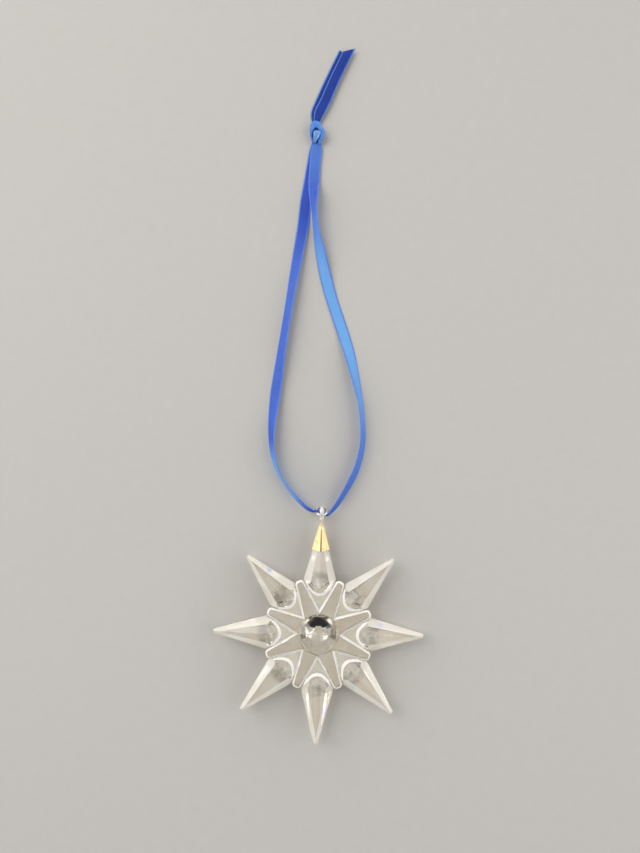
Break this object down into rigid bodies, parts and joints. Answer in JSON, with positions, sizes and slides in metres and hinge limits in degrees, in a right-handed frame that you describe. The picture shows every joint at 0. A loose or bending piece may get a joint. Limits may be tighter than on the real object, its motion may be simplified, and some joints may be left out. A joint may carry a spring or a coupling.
{
  "type": "crystal star ornament",
  "caption": "Flat cut-crystal star ornament: faceted spikes glued into a clear rosette, a folded metal hanger and ring on one point, and a knotted satin ribbon loop to hang it by.",
  "frame": {"origin": "centre of the star, on the flat back of its rosette", "axes": "+Z out of the star's face, +Y toward the point with the hanger, +X to the right seen from the face"},
  "size_m": [0.055, 0.1956, 0.007],
  "materials": {
    "cut_crystal": "polished facets",
    "rosette_crystal": "polished facets",
    "clear_adhesive": "clear",
    "pale_gold_metal": "polished pale gold",
    "silver_wire": "bright silver",
    "blue_satin": "royal blue woven satin"
  },
  "bodies": {
    "star": {"centre_rosette": "rosette_crystal", "spike_e": "cut_crystal", "spike_ne": "cut_crystal", "spike_n": "cut_crystal", "spike_nw": "cut_crystal", "spike_w": "cut_crystal", "spike_sw": "cut_crystal", "spike_s": "cut_crystal", "spike_se": "cut_crystal", "joint_film_e": "clear_adhesive", "joint_film_ne": "clear_adhesive", "joint_film_n": "clear_adhesive", "joint_film_nw": "clear_adhesive", "joint_film_w": "clear_adhesive", "joint_film_sw": "clear_adhesive", "joint_film_s": "clear_adhesive", "joint_film_se": "clear_adhesive", "hanger": "pale_gold_metal", "hanger_film_front": "clear_adhesive", "hanger_film_back": "clear_adhesive"},
    "ring": {"ring": "silver_wire"},
    "ribbon": {"ribbon_left": "blue_satin", "ribbon_right": "blue_satin", "ribbon_knot": "blue_satin", "ribbon_tail_rear": "blue_satin", "ribbon_tail_front": "blue_satin"}
  },
  "joints": [
    {"name": "ring_swing", "type": "hinge", "parent": "star", "child": "ring", "pos_m": [0, 0.03065, 0.0035], "axis": [1, 0, 0], "range_deg": [-40, 130]},
    {"name": "ribbon_swing", "type": "hinge", "parent": "ring", "child": "ribbon", "pos_m": [0, 0.03125, 0.0029], "axis": [1, 0, 0], "range_deg": [-15, 15]}
  ]
}
